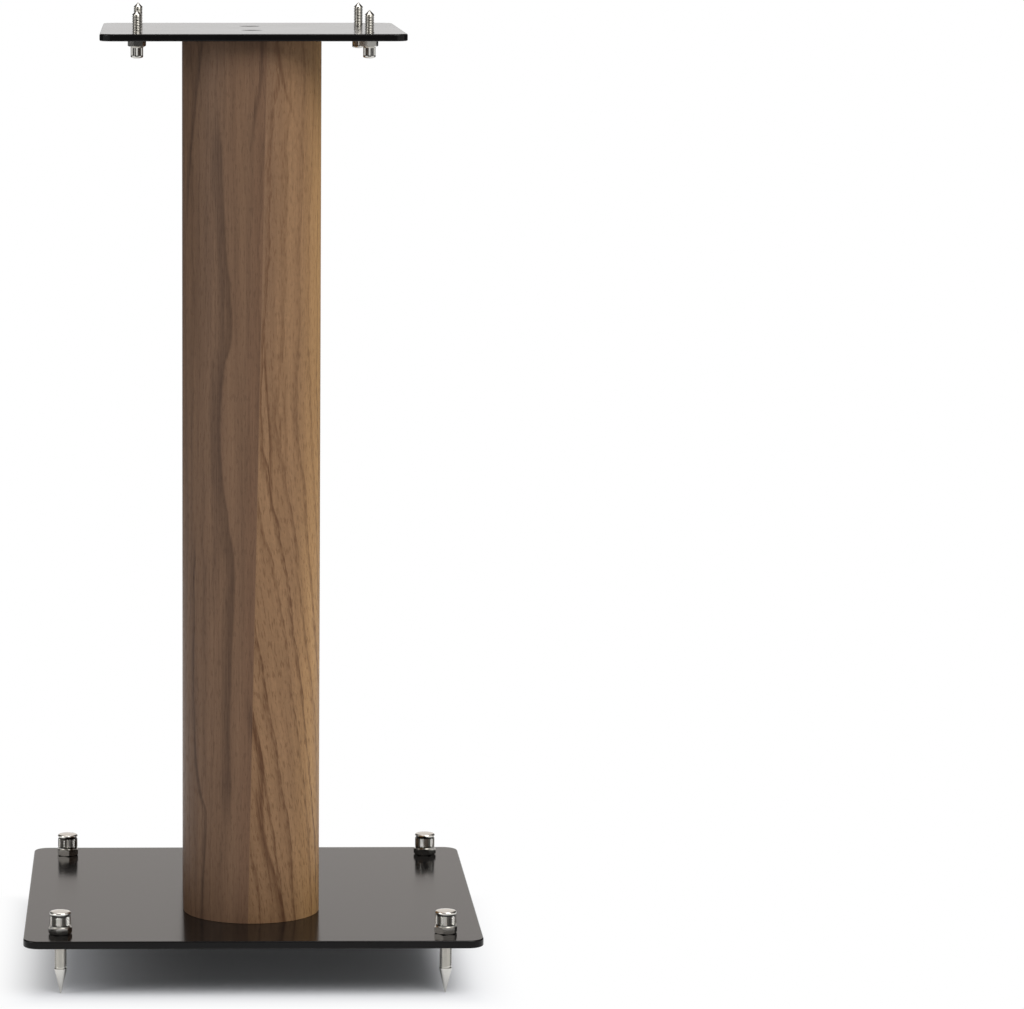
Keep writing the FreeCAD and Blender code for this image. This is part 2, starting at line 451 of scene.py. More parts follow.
def thread_ridge(crest, pitch, low, high):
    """A closed helical ridge about Z between two heights, all in mm."""
    root = crest - RIDGE_ROOT * pitch
    turns = int((high - low) / pitch) - 1
    centre = ((root + crest) / 2 * MM, 0, (low + pitch / 2) * MM)
    ridge = begin("ridge", bpy.ops.mesh.primitive_plane_add, size=1, location=centre,
                  rotation=(math.pi / 2, 0, 0))
    edit(ridge)
    bpy.ops.mesh.select_all(action="SELECT")
    section = ((crest - root) * MM, 1, RIDGE_FOOT * pitch * MM)
    bpy.ops.transform.resize(value=section, center_override=centre)
    pick("verts", lambda vertex: vertex.co.x > centre[0])
    bpy.ops.transform.resize(value=(1, 1, RIDGE_CREST), center_override=centre)
    bpy.ops.object.mode_set(mode="OBJECT")
    apply_modifier(ridge, "SCREW", angle=2 * math.pi, screw_offset=pitch * MM, iterations=turns,
                   steps=WINDING_STEPS, render_steps=WINDING_STEPS, use_merge_vertices=False)
    edit(ridge)
    bpy.ops.mesh.select_non_manifold()
    bpy.ops.mesh.edge_face_add()
    close_edit()
    return ridge

# %% [markdown]
# ## The knurled grip
#
# The head of a floor spike is turned by hand, so its side is knurled into small diamonds.
# They could be a bump, but their glints sit on real facets. The side already has a grid of
# square faces. Poking each square puts a point in its middle; dissolving the old grid lines
# then leaves squares that stand on one corner, and poking those again, outward, makes the
# pyramids.

# %% Knurling
KNURL_RISE = 0.5          # mm that each pyramid stands out
SQUARE_ON = 0.02          # most lean of a line of the grid, as a slope
STEEP = 0.05              # most lean of a face of the side, as a slope
# The groove attribute carries painted shade: how far the metal is darkened in the knurl, the groove
# above it and the flutes.
GROOVE = "groove"         # attribute: 1 in a groove, 0 on open metal


def knurl(piece, low, high):
    """Turns the grid on an upright round side, between two heights in mm, into diamonds."""
    def is_side(face):
        inside = low * MM - HAIR < face.calc_center_median().z < high * MM + HAIR
        return inside and abs(face.normal.z) < STEEP

    def is_grid_line(edge):
        inside = low * MM + HAIR < centre_of(edge).z < high * MM - HAIR
        lean = abs(direction(edge).z)
        return inside and (lean < SQUARE_ON or lean > 1 - SQUARE_ON)

    edit(piece)
    pick("faces", is_side)
    bpy.ops.mesh.poke(offset=0)
    pick("edges", is_grid_line)
    bpy.ops.mesh.dissolve_edges(use_verts=False)
    count = pick("faces", lambda face: len(face.verts) == 4 and is_side(face))
    bpy.ops.mesh.poke(offset=KNURL_RISE * MM)
    close_edit()
    return count


def mark_painted_groove_shade(piece, is_deep):
    """Writes how much painted shade each vertex gets, from a test on its radius and height in mm."""
    depth = piece.data.attributes.new(GROOVE, "FLOAT", "POINT")
    for vertex in piece.data.vertices:
        radius = math.hypot(vertex.co.x, vertex.co.y) / MM
        depth.data[vertex.index].value = is_deep(radius, vertex.co.z / MM)

# %% [markdown]
# ## Floor spikes
#
# Each floor spike is one turned piece: a long needle cone, an M8 shank, a narrow relief and
# a head with a shallow dome. A dark groove parts the polished dome from the knurl. The
# outline below runs from the tip up, and arcs are worked out by a formula.

# %% Arcs for an outline
def arc(centre, radius, first, last, steps):
    """Points of an arc in the outline's plane; angles in degrees from the outward direction."""
    points = []
    for step in range(steps + 1):
        angle = math.radians(first + (last - first) * step / steps)
        points.append((centre[0] + radius * math.cos(angle), centre[1] + radius * math.sin(angle)))
    return points


def dome(crown, rise, top, steps=6):
    """Points of a shallow dome, from its rim to just beside the axis at height top."""
    radius = (crown ** 2 + rise ** 2) / (2 * rise)
    rim_angle = math.degrees(math.acos(crown / radius))
    beside_axis = 89.5
    return arc((0, top - radius), radius, rim_angle, beside_axis, steps)

# %% One floor spike on the axis
SPIKE = "floor_spike_front_left"
SPIKE_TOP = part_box(SPIKE)[1].z / MM
SPIKE_HEAD = extent(SPIKE).x / 2 / MM
SPIKE_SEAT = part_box("floor_locknut_front_left")[1].z / MM
CONE_TOP = 16.0           # mm above the floor, where the needle cone ends
SPIKE_PITCH = 1.25        # mm, of an M8 thread
CORE_HIGH = SPIKE_SEAT - 2.8
RIDGE_HIGH = SPIKE_SEAT - 2.2
RELIEF = 3.2              # mm, radius of the neck under the head
RELIEF_LOW = SPIKE_SEAT - 2.4
COLLAR = SPIKE_HEAD - 0.1
COLLAR_FOOT = SPIKE_HEAD - 0.5
ROWS = 4                  # squares from the bottom of the grip to its top
AROUND_GRIP = 24          # squares round the grip
BAND_LOW = SPIKE_SEAT + 0.8
BAND_HIGH = BAND_LOW + 6.4
GRIP = SPIKE_HEAD - KNURL_RISE - 0.05
GROOVE_ROOT = GRIP - 0.7
GROOVE_LOW = BAND_HIGH + 0.05
GROOVE_HIGH = BAND_HIGH + 0.75
CROWN_EDGE = (SPIKE_HEAD - 0.08, BAND_HIGH + 0.9)
SHOULDER = 1.2            # mm, rounding between the crown's side and the dome
DOME_RISE = 0.62          # mm
TURNED_CREASE = 28        # degrees

TIP = 0.25                # mm, radius of the blunt end of the needle cone
core = SPIKE_THREAD - THREAD_CORE * SPIKE_PITCH
shoulder_low = SPIKE_TOP - 0.7 - SHOULDER
outline = [(TIP, FLOOR), (0.42, TIP), (SPIKE_THREAD, CONE_TOP),
           (SPIKE_THREAD, CONE_TOP + 0.1), (core, CONE_TOP + 0.7), (core, CORE_HIGH),
           (RELIEF, RELIEF_LOW), (RELIEF, SPIKE_SEAT), (COLLAR_FOOT, SPIKE_SEAT),
           (COLLAR, SPIKE_SEAT + 0.4), (COLLAR, BAND_LOW - 0.15)]
outline += [(GRIP, BAND_LOW + (BAND_HIGH - BAND_LOW) * row / ROWS) for row in range(ROWS + 1)]
outline += [(GROOVE_ROOT, GROOVE_LOW), (GROOVE_ROOT, GROOVE_HIGH), CROWN_EDGE]
outline += arc((SPIKE_HEAD - SHOULDER, shoulder_low), SHOULDER, 0, 80, 5)
outline += dome(SPIKE_HEAD - SHOULDER - 0.1, DOME_RISE, SPIKE_TOP)
spike = turn("floor_spike", outline, around=AROUND_GRIP)
print("diamonds:", knurl(spike, BAND_LOW, BAND_HIGH))


def painted_knurl_shade(radius, height):
    """Painted shade: 1 at the feet of the pyramids and in the groove above them."""
    return float(BAND_LOW - 0.05 < height < GROOVE_HIGH + 0.05 and radius < GRIP + 0.02)


mark_painted_groove_shade(spike, painted_knurl_shade)
ridge = thread_ridge(SPIKE_THREAD, SPIKE_PITCH, CONE_TOP, RIDGE_HIGH)
select_only(spike, ridge)
bpy.ops.object.join()
smooth(spike, TURNED_CREASE)
report(spike)

# %% [markdown]
# ## Top points
#
# The four points on the top plate are the same idea, smaller and upside down: the head hangs
# under its locknut and the short cone points up. Their grip shows upright stripes, so it is
# fluted: every other line of the side is drawn in towards the axis.

# %% One top point on the axis
POINT = "top_spike_front_left"
POINT_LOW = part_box(POINT)[0].z / MM
POINT_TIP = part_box(POINT)[1].z / MM
POINT_HEAD = extent(POINT).x / 2 / MM
POINT_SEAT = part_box("top_locknut_front_left")[0].z / MM
POINT_CORE_LOW = POINT_SEAT + 1.5
CONE_FOOT = POINT_TIP - 2.8
POINT_PITCH = 1.0         # mm, of an M6 thread
POINT_RELIEF = 2.35       # mm, radius of the neck above the head
POINT_SHOULDER = 0.9      # mm, rounding between the head's side and its dome
POINT_DOME_RISE = 0.36    # mm
FLUTES = 20
FLUTE_DRAW = 0.93         # radius at the bottom of a flute, as a share of the head's
FLUTE_LOW = POINT_LOW + 1.9
FLUTE_HIGH = POINT_SEAT - 0.7

core = POINT_THREAD - THREAD_CORE * POINT_PITCH
lower = dome(POINT_HEAD - POINT_SHOULDER - 0.1, POINT_DOME_RISE, -POINT_LOW)
outline = [(radius, -height) for radius, height in lower[::-1]]
shoulder_centre = (POINT_HEAD - POINT_SHOULDER, POINT_LOW + 0.4 + POINT_SHOULDER)
outline += arc(shoulder_centre, POINT_SHOULDER, -80, 0, 5)
outline += [(POINT_HEAD, FLUTE_LOW - 0.25), (POINT_HEAD, FLUTE_LOW), (POINT_HEAD, FLUTE_HIGH),
            (POINT_HEAD, FLUTE_HIGH + 0.2), (POINT_HEAD - 0.35, POINT_SEAT),
            (POINT_RELIEF, POINT_SEAT), (POINT_RELIEF, POINT_SEAT + 1.2),
            (core, POINT_CORE_LOW), (core, CONE_FOOT - 0.5), (POINT_THREAD, CONE_FOOT),
            (0.42, POINT_TIP - 0.3), (0.2, POINT_TIP)]
point = turn("top_point", outline, around=2 * FLUTES)
edit(point)


def is_flute(vertex):
    """True on every other line of the grip."""
    step = round(math.atan2(vertex.co.y, vertex.co.x) / (math.pi / FLUTES))
    return step % 2 == 1 and FLUTE_LOW - 0.01 < vertex.co.z / MM < FLUTE_HIGH + 0.01


print("flutes:", pick("verts", is_flute) // 2)
bpy.ops.transform.resize(value=(FLUTE_DRAW, FLUTE_DRAW, 1),
                         center_override=(0, 0, POINT_SEAT * MM))
close_edit()


def painted_flute_shade(radius, height):
    """Painted shade, half dark, along the bottom of a flute."""
    return 0.45 * (FLUTE_LOW - 0.01 < height < FLUTE_HIGH + 0.01 and radius < POINT_HEAD - 0.1)


mark_painted_groove_shade(point, painted_flute_shade)
ridge = thread_ridge(POINT_THREAD, POINT_PITCH, POINT_CORE_LOW, CONE_FOOT)
select_only(point, ridge)
bpy.ops.object.join()
smooth(point, TURNED_CREASE)
report(point)

# %% Spikes and points in their places
pieces = {}
for corner in CORNERS:
    for kind, pattern in (("floor_spike_", spike), ("top_spike_", point)):
        node = kind + corner
        axis = middle(node)
        pieces[node] = copy_to(pattern, node + "_turned", (axis.x, axis.y, 0))
        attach(pieces[node], node)
        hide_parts(node)
bpy.data.objects.remove(spike)
bpy.data.objects.remove(point)
print("spikes and points:", len(pieces))

# %% [markdown]
# ## Locknuts
#
# A thin hexagon nut has both faces chamfered by a wide cone, which leaves the bright curved
# bows at its corners. Bevelling the corners gives straight cuts instead. So the nut is what
# a hexagon bar and a turned double cone have in common, with its bore cut out. Each nut was
# tightened where it happened to grip, so each stands at its own angle.

# %% Nuts
CHAMFER = math.tan(math.radians(30))      # slope of the cone that chamfers both faces
FACE_INSET = 0.3          # mm from a flat to where the chamfer starts
BARREL_CLEAR = 0.2        # mm that the turned double cone is wider than the corners
AROUND_BARREL = 72        # corners round the double cone, for smooth bows
NUT_CREASE = 25           # degrees
NUT_ANGLES = {"front_left": 10, "front_right": 15, "rear_left": 38, "rear_right": 52}


def locknut(node, thread_radius, angle):
    """A chamfered hexagon nut in its node's place, turned by an angle in degrees."""
    low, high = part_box(node)
    bottom = low.z / MM
    face = high.z / MM
    flats = extent(node).y / 2 / MM
    corner_radius = flats / math.cos(math.pi / 6)
    piece = begin(node + "_cut", bpy.ops.mesh.primitive_cylinder_add, vertices=6,
                  radius=corner_radius * MM, depth=high.z - low.z,
                  location=(0, 0, (low.z + high.z) / 2), rotation=(0, 0, math.radians(90 + angle)))
    ring = flats - FACE_INSET
    rim = corner_radius + BARREL_CLEAR
    rise = (rim - ring) * CHAMFER
    barrel = turn("barrel", [(ring, bottom), (rim, bottom + rise), (rim, face - rise), (ring, face)],
                  around=AROUND_BARREL)
    combine(piece, barrel, "INTERSECT")
    combine(piece, hole_cutter(node, thread_radius), "DIFFERENCE")
    smooth(piece, NUT_CREASE)
    onto_axis(piece, node)
    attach(piece, node)
    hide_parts(node)
    return piece


for corner in CORNERS:
    for kind, thread in (("floor_locknut_", SPIKE_THREAD), ("top_locknut_", POINT_THREAD)):
        node = kind + corner
        pieces[node] = locknut(node, thread, NUT_ANGLES[corner])
report(pieces["floor_locknut_front_left"])

# %% [markdown]
# ## Countersunk screws
#
# Two screws hold each plate to the column. Only their flat heads show, flush with the plate,
# each with a hexagon socket. The socket is cut by a six-sided bar, and a small cone eases
# its mouth.

# %% Screws
SOCKET_FLATS = 4.0        # mm
SOCKET_DEPTH = 2.4        # mm
HEAD_EASE = 0.15          # mm, chamfer round the head's face
SOCKET_EASE = 0.2         # mm, chamfer at the socket's mouth
SCREW_CREASE = 30         # degrees


def plate_screw(node):
    """A countersunk screw with a hexagon socket in its node's place."""
    outline = screw_outline(node, 0)
    outline = [(outline[0][0] - HEAD_EASE, 0), (outline[0][0], HEAD_EASE)] + outline[1:]
    piece = turn(node + "_turned", from_face(node, outline), around=AROUND_SCREW)
    downward = node.startswith("top")
    face = (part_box(node)[1].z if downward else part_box(node)[0].z) / MM
    inward = -1 if downward else 1
    socket_radius = SOCKET_FLATS / 2 / math.cos(math.pi / 6)
    bar = begin("bar", bpy.ops.mesh.primitive_cylinder_add, vertices=6, radius=socket_radius * MM,
                depth=(SOCKET_DEPTH + PROUD) * MM,
                location=(0, 0, (face + inward * (SOCKET_DEPTH - PROUD) / 2) * MM))
    combine(piece, bar, "DIFFERENCE")
    cone = [(socket_radius + SOCKET_EASE + PROUD, face - inward * PROUD),
            (SOCKET_EASE, face + inward * socket_radius)]
    combine(piece, turn("cone", cone if inward > 0 else cone[::-1]), "DIFFERENCE")
    smooth(piece, SCREW_CREASE)
    onto_axis(piece, node)
    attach(piece, "stand")
    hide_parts(node)
    return piece


for plate_name in ("base", "top"):
    for end in ENDS:
        node = plate_name + "_screw_" + end
        pieces[node] = plate_screw(node)
report(pieces["top_screw_front"])

# %% [markdown]
# ## Writing shader maths
#
# A finish is a small calculation on each point of a surface. Node by node it is hard to read,
# so one small class wraps a socket and lets Python's own signs add the Math nodes. Anything
# that isn't arithmetic comes from one method that takes the node's type, then its settings,
# then its inputs. Numbers alone stay in Python.

# %% Signals and finishes
class Signal:
    """An output socket of a finish. Arithmetic on it adds Math nodes."""

    def __init__(self, finish, socket):
        self.finish = finish
        self.socket = socket

    def math(self, operation, *values):
        """Adds one Math node."""
        return self.finish.node("ShaderNodeMath", {"operation": operation}, dict(enumerate(values)))

    def __add__(self, other):
        return self.math("ADD", self, other)

    def __radd__(self, other):
        return self.math("ADD", other, self)

    def __sub__(self, other):
        return self.math("SUBTRACT", self, other)

    def __rsub__(self, other):
        return self.math("SUBTRACT", other, self)

    def __mul__(self, other):
        return self.math("MULTIPLY", self, other)

    def __rmul__(self, other):
        return self.math("MULTIPLY", other, self)

    def __truediv__(self, other):
        return self.math("DIVIDE", self, other)

    def __abs__(self):
        return self.math("ABSOLUTE", self)


class Finish:
    """A material or a world, and the ways to add nodes to it."""

    def __init__(self, owner):
        self.owner = owner
        self.owner.use_nodes = True
        self.tree = self.owner.node_tree
        self.tree.nodes.clear()

    def node(self, kind, settings=None, inputs=None, output=0):
        """Adds a node: its type, its settings, its inputs, and which output to use."""
        node = self.tree.nodes.new(kind)
        for setting, value in (settings or {}).items():
            if setting == "points":
                curve = node.mapping.curves[0]
                for position in value[1:-1]:
                    curve.points.new(*position)
                for handle, position in zip(curve.points, value):
                    handle.location = position
                node.mapping.update()
            else:
                setattr(node, setting, value)
        for name, value in (inputs or {}).items():
            socket = node.inputs[name]
            if isinstance(value, Signal):
                self.tree.links.new(value.socket, socket)
            elif socket.type == "RGBA":
                socket.default_value = (*value, 1)
            else:
                socket.default_value = value
        return Signal(self, node.outputs[output]) if node.outputs else None

    def noise(self, place, detail=2.0, roughness=0.5):
        """Noise from 0 to 1 whose cells are one unit of the place wide."""
        inputs = {"Vector": place, "Scale": 1.0, "Detail": detail, "Roughness": roughness}
        return self.node("ShaderNodeTexNoise", {"noise_dimensions": "3D"}, inputs)

    def step(self, value, low, high, first=0.0, last=1.0):
        """A soft step: first below low, last above high."""
        inputs = {"Value": value, "From Min": low, "From Max": high, "To Min": first, "To Max": last}
        return self.node("ShaderNodeMapRange", {"interpolation_type": "SMOOTHSTEP"}, inputs)

    def blend(self, factor, first, second, how="MIX"):
        """Colour first where factor is 0, second where it is 1."""
        return self.node("ShaderNodeMix", {"data_type": "RGBA", "blend_type": how},
                         {0: factor, 6: first, 7: second}, output=2)

    def bump(self, height, distance):
        """A surface normal tilted by a height signal; distance in metres."""
        return self.node("ShaderNodeBump", None,
                         {"Strength": 1.0, "Distance": distance, "Height": height})

    def surface(self, **inputs):
        """Ends the finish in a Principled shader."""
        named = {name.replace("_", " "): value for name, value in inputs.items()}
        shader = self.node("ShaderNodeBsdfPrincipled", None, named)
        self.node("ShaderNodeOutputMaterial", None, {"Surface": shader})
        return self.owner


def tone(red, green, blue):
    """A colour given as 0 to 255 on screen, as the linear values that Blender mixes."""
    def linear(value):
        value /= 255
        return value / 12.92 if value <= 0.04045 else ((value + 0.055) / 1.055) ** 2.4
    return linear(red), linear(green), linear(blue)

# %% [markdown]
# ## Black powder coat
#
# The plates have a satin black coat. Its colour is nearly even; what shows is how softly it
# mirrors the room, with a faint unevenness from the powder's flow. Roughness carries that,
# with a very shallow bump.

# %% Black coat
def stretched(finish, place, across, deep, high):
    """A place in metres divided by a cell's size in mm along each axis."""
    cells = (1 / (across * MM), 1 / (deep * MM), 1 / (high * MM))
    return finish.node("ShaderNodeVectorMath", {"operation": "MULTIPLY"}, {0: place, 1: cells})


def black_coat():
    """Near black, with soft clouds and fine specks that are a little duller."""
    finish = Finish(bpy.data.materials.new("black_coat"))
    place = finish.node("ShaderNodeTexCoord", output="Object")
    flow = finish.noise(stretched(finish, place, 1.4, 1.4, 1.4), detail=1.0)
    cloud = finish.noise(stretched(finish, place, 45, 45, 45), detail=3.0)
    speck = finish.step(finish.noise(stretched(finish, place, 0.5, 0.5, 0.5)), 0.62, 0.8)
    colour = finish.blend(cloud, (0.0035, 0.0032, 0.0032), (0.0055, 0.0050, 0.0050))
    colour = finish.blend(speck * 0.35, colour, (0.010, 0.009, 0.009))
    roughness = 0.135 + 0.03 * cloud + 0.03 * speck
    return finish.surface(Base_Color=colour, Roughness=roughness, IOR=1.24,
                          Normal=finish.bump(flow, 0.00001))


coat = black_coat()
for piece in (base, top):
    piece.data.materials.append(coat)
print("nodes in the coat:", len(coat.node_tree.nodes))

# %% [markdown]
# ## Walnut veneer
#
# Two leaves of walnut meet near the front's centre line: the left one is greyish heartwood
# with straight grain, the right one is warmer and paler with slanted growth lines. A wave
# texture gives even stripes, which no tree has. Here the growth lines are the fraction of a
# warped distance, so they crowd and spread, and each line gets its own strength. Fibres and
# pores are noise drawn out along the grain. The few streaks that catch the eye are routes,
# each a short list of heights and distances from the centre line.

# %% Streaks of the veneer
FADE = 36.0               # mm over which a streak starts and ends
ROUTE_TALL = 600          # mm of height that a route's curve spans
ROUTE_WIDE = 120          # mm of width that it spans, half of it on either side
STREAKS = (               # route as (height, distance from the centre line), width, depth
    (((470, -53), (523, -47.7), (539, -44), (568, -38.8), (620, -31)), 6.0, 0.55),
    (((92, -14), (205, -13.8), (254, -11.4), (296, -16), (339, -21), (386, -19.6), (413, -14),
      (469, -17.5), (560, -22.5)), 12.0, 0.56),
    (((290, 11.5), (327, 11.6), (350, 10.9), (373, 8.9), (425, 7.2)), 1.6, 0.80),
    (((306, 21), (340, 21.8), (400, 20.5)), 2.0, 0.35),
    (((5, 27), (39, 22), (66, 16.1), (94, 8.3), (115, 6.1), (138, 7.1), (162, 2.1),
      (192, -3)), 6.5, 0.85),
    (((5, -38), (76, -33), (107, -32.1), (119, -36.5), (156, -42.6), (240, -43),
      (300, -42)), 4.0, 0.60),
    (((535, 34), (556, 24.6), (574, 19.1), (640, 10)), 2.2, 0.60),
    (((520, -3), (556, 2.8), (577, 5.2), (640, 7)), 2.5, 0.50),
)


def streak(finish, route, width, across, up, waver, fibre):
    """A ragged mark that is darkest along a route and fades to its left, from 0 to 1."""
    half = ROUTE_WIDE / 2
    points = [(height / ROUTE_TALL, (place + half) / ROUTE_WIDE) for height, place in route]
    curve = finish.node("ShaderNodeFloatCurve", {"points": points}, {"Value": up / ROUTE_TALL})
    line = ROUTE_WIDE * curve - half
    side = line + 3.0 * waver + 4.0 * (fibre - 0.5) - across
    body = finish.step(side, -1.2, 0.9) * finish.step(side, 0.5, width, 1.0, 0.0)
    core = finish.step(abs(side), 0.0, 1.6, 1.0, 0.0)
    starts = finish.step(up, route[0][0], route[0][0] + FADE)
    ends = finish.step(up, route[-1][0] - FADE, route[-1][0], 1.0, 0.0)
    return (0.78 * body + 0.22 * core) * (0.55 + 0.9 * (1 - fibre)) * starts * ends

# %% Veneer
LEAF_WIDTH = 156.0        # mm from the centre line to where the leaf on the back starts
JOINT_LEFT = 2.8          # mm left of the centre line, where the front's two leaves meet
JOINT_LEAN = 0.0205       # how far the joint leans to the right, for each mm that it rises
JOINT_FROM = 40           # mm, the height at which it is JOINT_LEFT from the centre line


def veneer():
    """Leaves, growth lines, pores and streaks on the unrolled map, all in mm."""
    finish = Finish(bpy.data.materials.new("walnut_veneer"))
    place = finish.node("ShaderNodeUVMap", {"uv_map": "veneer"})
    across = 1000 * finish.node("ShaderNodeSeparateXYZ", None, {0: place}, output="X")
    up = 1000 * finish.node("ShaderNodeSeparateXYZ", None, {0: place}, output="Y")

    joint = across + JOINT_LEFT - JOINT_LEAN * (up - JOINT_FROM)
    right = finish.step(joint, -0.3, 0.3)
    behind = finish.step(abs(across), LEAF_WIDTH - 0.2, LEAF_WIDTH + 0.2)
    leaf_shift = 470 * right + 1130 * behind
    slant = 0.15 * right * up.math("SMOOTH_MIN", up, 330, 90)
    grain = across + slant

    def cells(wide, tall):
        return finish.node("ShaderNodeCombineXYZ", None,
                           {0: (grain + leaf_shift) / wide, 1: up / tall, 2: leaf_shift})

    sway = finish.noise(cells(60, 260), detail=1.0) - 0.5
    waver = finish.noise(cells(9, 34), detail=2.0) - 0.5
    fibre = finish.noise(cells(0.9, 45), detail=3.0, roughness=0.65)
    band = finish.noise(cells(6, 200), detail=3.0)
    mottle = finish.noise(cells(1.9, 3.4), detail=3.0, roughness=0.65)
    cloud = finish.noise(cells(16, 60), detail=2.0)
    dash = finish.noise(cells(1.1, 6.5), detail=2.0)
    pores = finish.step(dash, 0.54, 0.64)

    distance = grain + (22 + 14 * right) * sway + 7 * waver
    rings = distance / (6.5 + 2.5 * right)
    through = rings.math("FRACT", rings)
    own = finish.node("ShaderNodeTexWhiteNoise", {"noise_dimensions": "1D"},
                      {"W": rings.math("FLOOR", rings)})
    line = finish.step(through, 0.55, 0.93) * finish.step(through, 0.93, 1.0, 1.0, 0.0)
    line = line * (0.10 + 0.90 * own) * finish.step(dash + 0.25 * cloud, 0.34, 0.66)
    marks = 0.0
    for route, width, depth in STREAKS:
        marks = marks + depth * streak(finish, route, width, across, up, waver, fibre)

    warmth = finish.step(joint, 22, 54)
    grey_wood = finish.blend(band, tone(88, 65, 50), tone(130, 101, 77))
    near_wood = finish.blend(band, tone(113, 84, 58), tone(143, 111, 80))
    gold_wood = finish.blend(band, tone(146, 109, 70), tone(186, 147, 99))
    tan_wood = finish.blend(warmth, near_wood, gold_wood)
    sharpness = finish.step(up, 300, 460, 0.75, 0.0)
    change = sharpness * right + (1 - sharpness) * finish.step(joint, -10, 22)
    wood = finish.blend(change, grey_wood, tan_wood)
    red_edge = finish.step(joint, -11, -2) * finish.step(joint, -0.3, 0.3, 1.0, 0.0)
    wood = finish.blend(0.42 * red_edge * band, wood, tone(84, 52, 38))
    dark = finish.blend(right, tone(46, 29, 22), tone(74, 45, 25))
    open_grain = right * finish.step(up, 250, 480, 1.0, 0.35)
    wood = finish.blend((0.30 + 0.46 * open_grain) * line, wood, dark)
    wood = finish.blend((0.16 + 0.22 * open_grain) * pores, wood, dark)
    wood = finish.blend(marks, wood, dark)
    shade = 0.52 + 0.42 * fibre + 0.20 * cloud + (0.18 + 0.24 * right) * mottle
    grey = finish.node("ShaderNodeCombineColor", None, {0: shade, 1: shade, 2: shade})
    wood = finish.blend(1.0, wood, grey, how="MULTIPLY")
    height = fibre + 0.5 * mottle - 0.8 * pores
    roughness = 0.44 + 0.12 * pores + 0.08 * mottle
    return finish.surface(Base_Color=wood, Roughness=roughness, IOR=1.3,
                          Normal=finish.bump(height, 0.00003))


column.data.materials.append(veneer())

# %% [markdown]
# ## Nickel, blackened steel and brass
#
# The spikes and nuts are bright nickel. Polished metal is all reflection, so its finish is
# in fine turning marks that run round the axis and in faint smudges of roughness. What lies
# deep in the knurl, a groove or a flute gets painted shade from the attribute written above.

# %% Metals
PAINTED_GROOVE_SHADE = 0.08       # colour at the bottom of a groove, as a share of the open metal's


def metal(name, colour, roughness, marks):
    """A turned metal with rings of tool marks about its own upright axis."""
    finish = Finish(bpy.data.materials.new(name))
    place = finish.node("ShaderNodeTexCoord", output="Object")
    rings = finish.noise(stretched(finish, place, 60, 60, 0.22), detail=2.0)
    smudge = finish.noise(stretched(finish, place, 4, 4, 4), detail=3.0)
    shade = finish.blend(smudge, [0.86 * part for part in colour], colour)
    groove = finish.node("ShaderNodeAttribute", {"attribute_name": GROOVE}, output="Fac")
    # Painted shade: the colour at the bottom of grooves and flutes, where shade would fall.
    painted_groove_colour = [PAINTED_GROOVE_SHADE * part for part in colour]
    shade = finish.blend(finish.step(groove, 0.20, 0.85), shade, painted_groove_colour)
    return finish.surface(Base_Color=shade, Metallic=1.0,
                          Roughness=roughness * (0.8 + 0.5 * smudge),
                          Normal=finish.bump(rings, marks))


nickel = metal("nickel", (0.68, 0.665, 0.625), 0.15, 0.000004)
blackened = metal("black_screw", (0.05, 0.048, 0.047), 0.60, 0.000006)
brass = metal("brass", (0.80, 0.62, 0.32), 0.25, 0.00001)
for node, piece in pieces.items():
    piece.data.materials.append(blackened if "screw" in node else nickel)
for name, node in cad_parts.items():
    if "insert" in name:
        node.data.materials.clear()
        node.data.materials.append(brass)

# %% [markdown]
# ## Floor, lamps and room
#
# A product picture like this is lit by large soft sources in a white room, with the camera's
# own side left dark, which draws the dark lines in the metal. The floor near the stand takes
# real light and shadow, with a faint painted glow that lightens the shadow; further out it
# fades to plain white for the camera and for reflections.

# %% Floor
FLOOR_RADIUS = 1.6        # m


def floor_finish():
    """A pale floor near the stand, its shadow lightened by a faint painted glow, that turns to plain
    white further out.
    """
    finish = Finish(bpy.data.materials.new("pale_floor"))
    place = finish.node("ShaderNodeTexCoord", output="Object")
    across = abs(finish.node("ShaderNodeSeparateXYZ", None, {0: place}, output="X"))
    along = abs(finish.node("ShaderNodeSeparateXYZ", None, {0: place}, output="Y"))
    beside = across - BASE_CORNER.x
    before = along - BASE_CORNER.y
    distance = beside.math("SMOOTH_MAX", beside, before, 0.02)
    sight = finish.node("ShaderNodeLightPath", output="Is Camera Ray")
    glint = finish.node("ShaderNodeLightPath", output="Is Glossy Ray")
    through = finish.node("ShaderNodeLightPath", output="Is Transmission Ray")
    seen = sight.math("MAXIMUM", sight, sight.math("MAXIMUM", glint, through))
    # Under the stand a share of 0.015 white glow is painted light that lightens the shadow; further
    # out the share rises to plain white.
    white_and_shadow_lift = finish.step(distance, -0.035, 0.03, 0.015, 1.0)
    pale = finish.node("ShaderNodeBsdfDiffuse", None, {"Color": (0.90, 0.915, 0.95)})
    white = finish.node("ShaderNodeEmission", None, {"Color": (1, 1, 1), "Strength": 1.0})
    floor = finish.node("ShaderNodeMixShader", None, {0: white_and_shadow_lift * seen, 1: pale, 2: white})
    finish.node("ShaderNodeOutputMaterial", None, {"Surface": floor})
    return finish.owner


floor = begin("floor", bpy.ops.mesh.primitive_circle_add, vertices=128, radius=FLOOR_RADIUS,
              fill_type="NGON", location=(0, 0, FLOOR))
floor.data.materials.append(floor_finish())

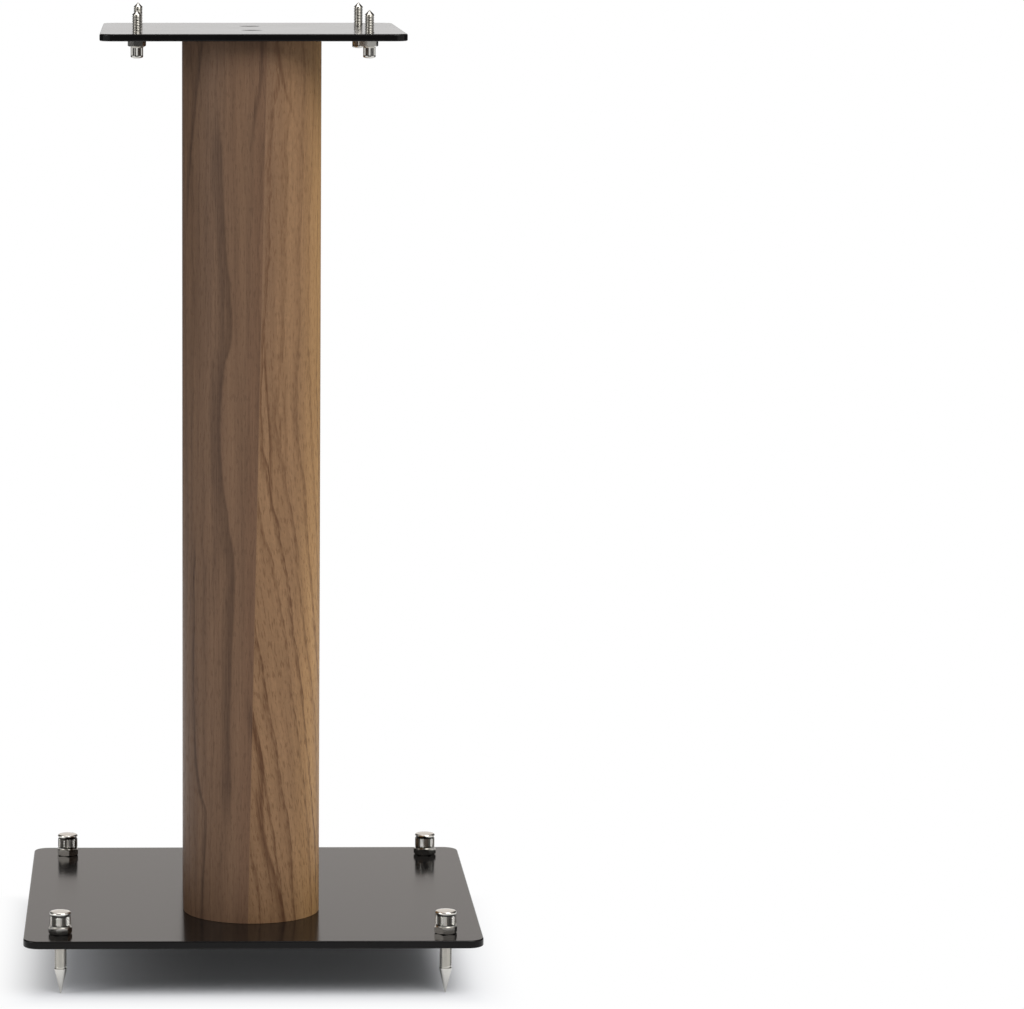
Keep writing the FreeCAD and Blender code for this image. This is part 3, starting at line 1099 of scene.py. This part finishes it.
# %% Room
def room():
    """White to the camera; in reflections dark but for the sides, the top and the far end."""
    world = bpy.data.worlds.new("white_room")
    bpy.context.scene.world = world
    finish = Finish(world)
    view = finish.node("ShaderNodeTexCoord", output="Generated")
    backward = finish.node("ShaderNodeSeparateXYZ", None, {0: view}, output="Y")
    upward = finish.node("ShaderNodeSeparateXYZ", None, {0: view}, output="Z")
    sight = finish.node("ShaderNodeLightPath", output="Is Camera Ray")
    glint = finish.node("ShaderNodeLightPath", output="Is Glossy Ray")
    through = finish.node("ShaderNodeLightPath", output="Is Transmission Ray")
    sideways = abs(finish.node("ShaderNodeSeparateXYZ", None, {0: view}, output="X"))
    sides = finish.step(sideways, 0.45, 0.62)
    above = finish.step(upward, 0.45, 0.80)
    front = sides.math("MAXIMUM", sides, above)
    rear = finish.step(upward, -0.012, 0.02) * finish.step(sideways, 0.22, 0.36, 1.0, 0.0)
    behind = finish.step(backward, 0.05, 0.16)
    glossy = 0.06 + 0.94 * (0.85 * front * (1 - behind) + rear * behind)
    plain = sight.math("MAXIMUM", sight, through)
    seen = plain.math("MAXIMUM", plain, glint * glossy)
    strength = seen.math("MAXIMUM", seen, 0.31 * (1 - glint))
    warm = glint * finish.step(upward, 0.05, 0.12)
    paint = finish.blend(warm, (1, 1, 1), (0.92, 0.865, 0.825))
    back = finish.node("ShaderNodeBackground", None, {"Color": paint, "Strength": strength})
    finish.node("ShaderNodeOutputWorld", None, {"Surface": back})


room()

# %% Lamps
LAMP_AIM = Vector((0, 0, 0.3))    # m, about the middle of the stand


def softbox(name, place, width, power):
    """A square lamp aimed at the stand; place and width in metres, power in watts."""
    aim = LAMP_AIM - Vector(place)
    facing = aim.to_track_quat("-Z", "Y").to_euler()
    bpy.ops.object.light_add(type="AREA", location=place, rotation=facing)
    lamp = bpy.context.object
    lamp.name = name
    lamp.data.shape = "SQUARE"
    lamp.data.size = width
    lamp.data.energy = power


softbox("main_softbox", (1.10, -1.65, 2.20), 1.8, 60)
softbox("overhead", (0, 0.5, 2.6), 1.6, 12)
softbox("left_fill", (-2.3, -1.0, 1.3), 1.2, 17)

# %% [markdown]
# ## The camera
#
# A long lens from about three metres, slightly above the top plate, looking a little down.
# The stand sits left in the picture's frame, so the lens is shifted sideways and the camera
# hardly turned, which keeps the stand's front square to the picture.

# %% Camera
PICTURE_WIDTH = 1024      # pixels
SENSOR = 36.0             # mm
LENS_PIXELS = 4624.5      # focal length in pixels of the picture
SHIFT_PIXELS = 304.2      # sideways shift in pixels of the picture
CAMERA_PLACE = (-0.0568, -2.9569, 0.7014)     # m
LOOK_DOWN = 7.844         # degrees
LOOK_RIGHT = 0.572        # degrees
bpy.ops.object.select_all(action="DESELECT")
bpy.ops.object.camera_add(location=CAMERA_PLACE,
                          rotation=(math.radians(90 - LOOK_DOWN), 0, math.radians(-LOOK_RIGHT)))
camera = bpy.context.object
camera.data.sensor_width = SENSOR
camera.data.lens = LENS_PIXELS * SENSOR / PICTURE_WIDTH
camera.data.shift_x = SHIFT_PIXELS / PICTURE_WIDTH
camera.data.clip_end = 100
bpy.context.scene.camera = camera
bpy.context.scene.view_settings.view_transform = "Standard"
print("lens", round(camera.data.lens, 1), "mm")
